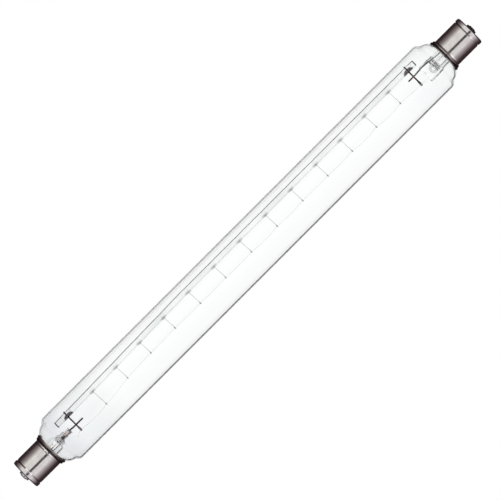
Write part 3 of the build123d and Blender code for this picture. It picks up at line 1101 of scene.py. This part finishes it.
def nickel_plate():
    """Drawn nickel plate: fine lines round the cap, soft tarnish, grime with painted shade in its
    creases, a painted highlight on rubbed edges and painted brown shade on its lip.
    """
    finish = Finish("nickel_plate", Metallic=1.0)
    lines = finish.mm.noise((9.0, 0.15), detail=3.0, roughness=0.6)
    drawing = finish.mm.noise((0.25, 3.0), detail=3.0, roughness=0.6)
    tarnish = finish.mm.noise((0.35, 0.35), detail=4.0, roughness=0.6)
    spots = finish.mm.noise((1.6, 1.6), detail=3.0, roughness=0.6).ramp(0.62, 0.74)
    colour = tarnish.ramp(0.35, 0.7).blend((0.655, 0.64, 0.625), (0.575, 0.55, 0.535))
    colour = (spots * 0.5).blend(colour, (0.34, 0.28, 0.26))
    from_middle = finish.mm.along()
    up = finish.mm.part("Y")
    at_mouth = finish.mm.node(
        "ShaderNodeMapping", {}, {"Vector": finish.mm, "Location": (MOUTH_SHIFT, 0, 0)}
    ).along()
    # Grime with painted shade: the step, corner and groove are painted near black, the corner and
    # groove more on the +Y side.
    corner_grime_and_shade = at_mouth.levels(CORNER_GRIME_AND_SHADE) + from_middle.levels(GROOVE_GRIME_AND_SHADE)
    corner_grime_and_shade = corner_grime_and_shade * up.ramp(-3.0, 0.5, 0.2, 1.0)
    grime_and_shade = (at_mouth.levels(STEP_GRIME_AND_SHADE) + corner_grime_and_shade) * tarnish.ramp(0.25, 0.55, 0.85, 1.0)
    colour = grime_and_shade.blend(colour, (0.03, 0.022, 0.022))
    # Painted highlight: rubbed edges are painted near white inside a band that crosses both caps.
    highlight_height = up + HIGHLIGHT_BAND_FALL * finish.mm.part("X") + HIGHLIGHT_BAND_DROP
    highlight_band = highlight_height.levels(HIGHLIGHT_BAND) * tarnish.ramp(0.35, 0.5)
    colour = (from_middle.levels(RUBBED_EDGES_AND_HIGHLIGHT) * highlight_band).blend(colour, (0.97, 0.96, 0.98))
    # Painted shade: the lip is painted brown.
    colour = from_middle.levels(LIP_PAINTED_SHADE).blend(colour, (0.22, 0.18, 0.135))
    roughness = 0.09 + 0.06 * tarnish.ramp(0.3, 0.7) + 0.04 * lines + 0.25 * grime_and_shade
    height = lines * 0.6 + drawing * 0.4
    return finish.set(Base_Color=colour, Roughness=roughness, Normal=height.bump(0.002))


def oxidised_wire(name, bare, wear, foot=None):
    """Wire under a black oxide skin, with bare metal showing in patches, or only at its foot."""
    finish = Finish(name, Specular_IOR_Level=0.25)
    mottle = finish.mm.noise((1.4, 1.4), detail=4.0, roughness=0.65)
    rubbed = mottle.ramp(*wear)
    if foot:
        rubbed = rubbed * finish.mm.part("Y").ramp(*foot)
    return finish.set(
        Base_Color=rubbed.blend(OXIDE, bare),
        Metallic=rubbed * 0.8,
        Roughness=0.6 - 0.2 * rubbed,
        Normal=mottle.bump(0.01),
    )


def dull_metal(name, bright, dark, grain, roughness, height):
    """Metal with a mottled, uneven surface."""
    finish = Finish(name, Metallic=1.0)
    mottle = finish.mm.noise((grain, grain), detail=4.0, roughness=0.6)
    fine = finish.mm.noise((grain * 5, grain * 5))
    return finish.set(
        Base_Color=mottle.ramp(0.35, 0.65).blend(bright, dark),
        Roughness=roughness + 0.2 * mottle.ramp(0.3, 0.7),
        Normal=(mottle * 0.7 + fine * 0.3).bump(height),
    )


def bright_left_metal(name, bright, dull):
    """Metal that is bright at the left end of the lamp and dark at the right."""
    finish = Finish(name, Metallic=1.0)
    end = finish.mm.part("X").ramp(-100, 100)
    mottle = finish.mm.noise((1.8, 1.8), detail=4.0, roughness=0.6)
    worn = mottle.ramp(0.35, 0.65, 0.75, 1.0)
    colour = worn.blend((0.03, 0.03, 0.035), bright)
    return finish.set(
        Base_Color=end.blend(colour, dull),
        Roughness=0.28 + 0.2 * mottle.ramp(0.3, 0.7),
        Normal=mottle.bump(0.03),
    )


def insulator_glass():
    """Black moulded glass with a fire-polished, slightly wavy face."""
    finish = Finish("insulator_glass", IOR=1.52)
    waves = finish.mm.noise((0.5, 0.5))
    dust = finish.mm.noise((3.0, 3.0), detail=4.0, roughness=0.65).ramp(0.55, 0.8)
    return finish.set(
        Base_Color=dust.blend((0.012, 0.011, 0.013), (0.05, 0.045, 0.045)),
        Roughness=0.08 + 0.3 * dust,
        Normal=waves.bump(0.05),
    )


def cap_cement():
    """Baked cement: a matt, grainy buff."""
    finish = Finish("cement")
    grain = finish.mm.noise((4.0, 4.0), detail=4.0, roughness=0.7)
    return finish.set(
        Base_Color=grain.blend((0.38, 0.32, 0.24), (0.58, 0.51, 0.41)),
        Roughness=0.85 + 0.1 * grain,
        Normal=grain.bump(0.06),
    )


def dress_nodes(kind, material):
    """Gives a kind of CAD node that stays its finish, at both ends."""
    for side in SIDES:
        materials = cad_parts[f"{kind}_{side}"].data.materials
        materials.clear()
        materials.append(material)


# Stage

def light_path(tree, output):
    """One output of the Light Path node."""
    node = tree.nodes.new("ShaderNodeLightPath")
    return Field(node.outputs[output])


def glow(tree, kind, colour):
    """An emission or background of a colour, plain or varying."""
    node = tree.nodes.new(kind)
    node.inputs["Strength"].default_value = 1.0
    if isinstance(colour, Field):
        tree.links.new(colour.socket, node.inputs["Color"])
    else:
        node.inputs["Color"].default_value = (*colour, 1)
    return node.outputs[0]


def layer_looks(tree, kind, look, colours):
    """A look with glows over it, each of which only its own kind of ray sees."""
    for ray, colour in colours.items():
        mix = tree.nodes.new("ShaderNodeMixShader")
        tree.links.new(light_path(tree, ray).socket, mix.inputs[0])
        tree.links.new(look, mix.inputs[1])
        tree.links.new(glow(tree, kind, colour), mix.inputs[2])
        look = mix.outputs[0]
    return look


def make_floor():
    """A pale floor below the lamp, white to the camera, with its own look in glass and metal."""
    deselect()
    bpy.ops.mesh.primitive_plane_add(size=FLOOR_SIZE, location=(0, 0, -FLOOR_DROP))
    floor = bpy.context.object
    floor.name = "floor"
    material = bpy.data.materials.new("floor")
    material.use_nodes = True
    tree = material.node_tree
    shader = tree.nodes["Principled BSDF"]
    shader.inputs["Base Color"].default_value = (*FLOOR_COLOUR, 1)
    shader.inputs["Roughness"].default_value = FLOOR_ROUGHNESS
    place = Field(tree.nodes.new("ShaderNodeTexCoord").outputs["Object"])
    across = place.part("Y")
    crossings = light_path(tree, "Transmission Depth")
    in_rod = crossings.ramp(ROD_CROSSINGS - CROSSING_FADE, ROD_CROSSINGS + CROSSING_FADE)
    seen_through = in_rod.blend(across.levels(TUBE_BANDS), across.levels(ROD_BANDS))
    away = place.node("ShaderNodeVectorMath", {"operation": "LENGTH"}, {0: place}, "Value")
    mirrored = away.levels(FLOOR_MIRROR)
    look = layer_looks(
        tree,
        "ShaderNodeEmission",
        shader.outputs[0],
        {
            "Is Glossy Ray": mirrored,
            "Is Transmission Ray": seen_through,
            "Is Camera Ray": WHITE,
        },
    )
    tree.links.new(look, tree.nodes["Material Output"].inputs["Surface"])
    floor.data.materials.append(material)


def make_world():
    """A white surround, with a soft fall-off to the horizon in what metal mirrors."""
    world = bpy.data.worlds.new("studio")
    bpy.context.scene.world = world
    world.use_nodes = True
    tree = world.node_tree
    heading = Field(tree.nodes.new("ShaderNodeTexCoord").outputs["Generated"])
    rise = heading.part("Z")
    upper = heading.part("Y").ramp(-SKY_MEETING, SKY_MEETING)
    mirrored = upper.blend(rise.levels(LOWER_SKY), rise.levels(UPPER_SKY))
    look = layer_looks(
        tree,
        "ShaderNodeBackground",
        glow(tree, "ShaderNodeBackground", SURROUND_LIGHT),
        {
            "Is Glossy Ray": mirrored,
            "Is Transmission Ray": SURROUND_THROUGH_GLASS,
            "Is Camera Ray": WHITE,
        },
    )
    output = tree.nodes.get("World Output") or tree.nodes.new("ShaderNodeOutputWorld")
    tree.links.new(look, output.inputs["Surface"])


def make_softbox(name, start, end, colour):
    """A large soft box above the lamp from one Y to another, which the camera doesn't see."""
    light = bpy.data.lights.new(name, "AREA")
    light.shape = "RECTANGLE"
    light.size = SOFTBOX_LENGTH
    light.size_y = abs(end - start)
    light.color = colour
    light.energy = SOFTBOX_RADIANCE * math.pi * SOFTBOX_LENGTH * light.size_y
    box = bpy.data.objects.new(name, light)
    box.location = (0, (start + end) / 2, SOFTBOX_HEIGHT)
    box.visible_camera = False
    bpy.context.scene.collection.objects.link(box)


def make_camera():
    """The camera, straight above the lamp."""
    camera = bpy.data.cameras.new("camera")
    camera.sensor_width = SENSOR_WIDTH
    camera.lens = SENSOR_WIDTH * CAMERA_HEIGHT / FRAME_WIDTH
    eye = bpy.data.objects.new("camera", camera)
    x, y = CAMERA_AIM
    eye.location = (x, y, CAMERA_HEIGHT)
    eye.rotation_euler = (0, 0, CAMERA_TURN)
    bpy.context.scene.collection.objects.link(eye)
    bpy.context.scene.camera = eye


# Everything together

make_camera()
make_floor()
make_world()
make_softbox("soft_box_upper", GAP_START, SOFTBOX_REACH, UPPER_LIGHT)
make_softbox("soft_box_lower", GAP_END, -SOFTBOX_REACH, LOWER_LIGHT)
bpy.context.scene.view_settings.view_transform = "Standard"

tube_glass = envelope_glass()
rod_glass = inner_glass("rod_glass", 1.51, (0.81, 0.835, 0.825), (0.05, 1.2), 0.006)
stem_glass = inner_glass("stem_glass", 1.55, (0.98, 0.985, 0.985), (0.3, 1.0), 0.006)
nickel = nickel_plate()
plate_metal = bright_left_metal("contact_metal", (0.62, 0.63, 0.70), (0.035, 0.030, 0.032))
solder_metal = bright_left_metal("solder", (0.50, 0.50, 0.55), (0.09, 0.085, 0.085))
lead_metal = oxidised_wire("lead_wire", (0.06, 0.045, 0.035), (0.58, 0.72))
worn_metal = oxidised_wire("worn_lead", (0.36, 0.28, 0.18), (0.46, 0.60))
cross_metal = oxidised_wire("cross_wire", (0.20, 0.145, 0.14), (0.3, 0.5), foot=(-0.7, -1.5))
hook_metal = dull_metal("hook_wire", (0.07, 0.065, 0.065), (0.03, 0.028, 0.028), 2.0, 0.4, 0.01)
tungsten_metal = dull_metal("tungsten", (0.50, 0.50, 0.52), (0.36, 0.36, 0.38), 3.0, 0.35, 0.002)
seal_metal = bright_left_metal("seal_copper", (0.90, 0.66, 0.58), (0.012, 0.008, 0.008))
outer_metal = bright_left_metal("outer_copper", (0.90, 0.68, 0.60), (0.014, 0.009, 0.008))

seat(make_envelope(), "glass_envelope", tube_glass)
seat(make_rod(), "support_rod", rod_glass)
seat(make_filament(), "filament", tungsten_metal)
for number in range(HOOK_COUNT):
    seat(make_hook(number), f"support_hook_{number + 1:02d}", hook_metal)
for side in SIDES:
    seat(make_cap_shell(side), f"cap_shell_{side}", nickel)
    seat(make_contact(side), f"contact_{side}", plate_metal)
    seat(make_solder(side), f"solder_{side}", solder_metal)
    seat(make_stem(side), f"stem_{side}", stem_glass)
    lead = worn_metal if side == "right" else lead_metal
    seat(make_inner_lead(side), f"inner_lead_{side}", lead)
    seat(make_cross_wire(side), f"cross_wire_{side}", cross_metal)
dress_nodes("cap_cement", cap_cement())
dress_nodes("cap_insulator", insulator_glass())
dress_nodes("seal_wire", seal_metal)
dress_nodes("outer_lead", outer_metal)
